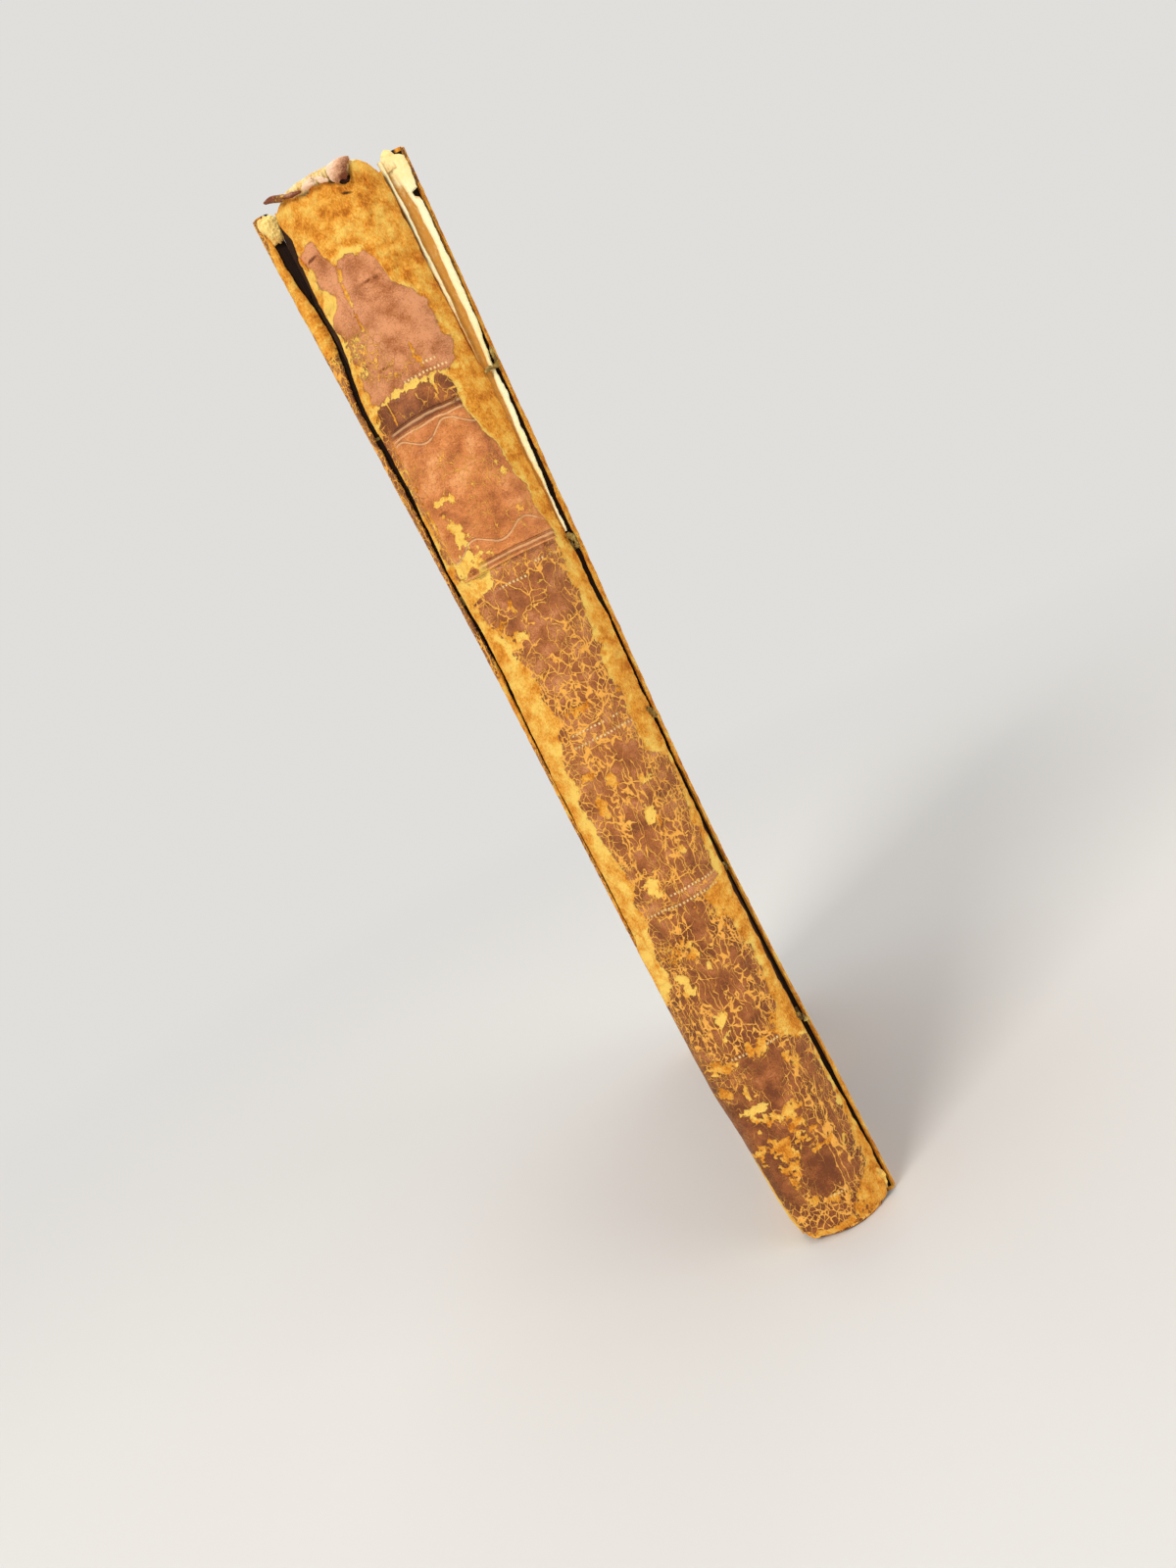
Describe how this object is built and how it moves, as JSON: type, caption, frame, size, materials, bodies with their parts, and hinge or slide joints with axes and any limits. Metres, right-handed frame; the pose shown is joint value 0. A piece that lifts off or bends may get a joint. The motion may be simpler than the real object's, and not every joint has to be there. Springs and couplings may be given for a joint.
{
  "type": "leather-bound book",
  "caption": "Worn antique full-leather book with a rounded smooth spine, a blank leather title label, sewn cords and two hinged warped covers, standing on its tail.",
  "frame": {"origin": "centre of the book's bounding box in X and Y, on the plane under its tail edges", "axes": "+Z towards the head, -Y towards the viewer of the spine, +X towards the front board"},
  "size_m": [0.0248, 0.1082, 0.1796],
  "materials": {
    "leaves": "matte, toned and slightly foxed",
    "endpaper": "matte",
    "cord": "twisted hemp",
    "endband": "sewn thread",
    "cover_leather": "dry, crackled, rubbed to the corium",
    "label_leather": "smooth, dry, rubbed",
    "pasteboard": "laminated pasteboard, matte"
  },
  "bodies": {
    "book_block": {"text_block": "leaves", "sewing_cord_1": "cord", "sewing_cord_2": "cord", "sewing_cord_3": "cord", "sewing_cord_4": "cord", "sewing_cord_5": "cord", "head_endband": "endband", "tail_endband": "endband", "spine_lining": "endpaper", "spine_leather": "cover_leather", "title_label": "label_leather", "front_flyleaf_1": "endpaper", "front_flyleaf_2": "endpaper", "front_flyleaf_3": "endpaper", "back_flyleaf_1": "endpaper", "back_flyleaf_2": "endpaper"},
    "front_cover": {"front_board": "pasteboard", "front_leather": "cover_leather", "front_pastedown": "endpaper", "front_slip_1": "cord", "front_slip_2": "cord", "front_slip_3": "cord", "front_slip_4": "cord", "front_slip_5": "cord"},
    "back_cover": {"back_board": "pasteboard", "back_leather": "cover_leather", "back_pastedown": "endpaper", "back_slip_1": "cord", "back_slip_2": "cord", "back_slip_3": "cord", "back_slip_4": "cord", "back_slip_5": "cord"}
  },
  "joints": [
    {"name": "front_hinge", "type": "hinge", "parent": "book_block", "child": "front_cover", "pos_m": [0.00963, -0.04832, 0], "axis": [-0.0155, 0, -0.9999], "range_deg": [0, 175]},
    {"name": "back_hinge", "type": "hinge", "parent": "book_block", "child": "back_cover", "pos_m": [-0.01021, -0.04832, 0], "axis": [-0.0123, 0, 0.9999], "range_deg": [0, 175]}
  ]
}
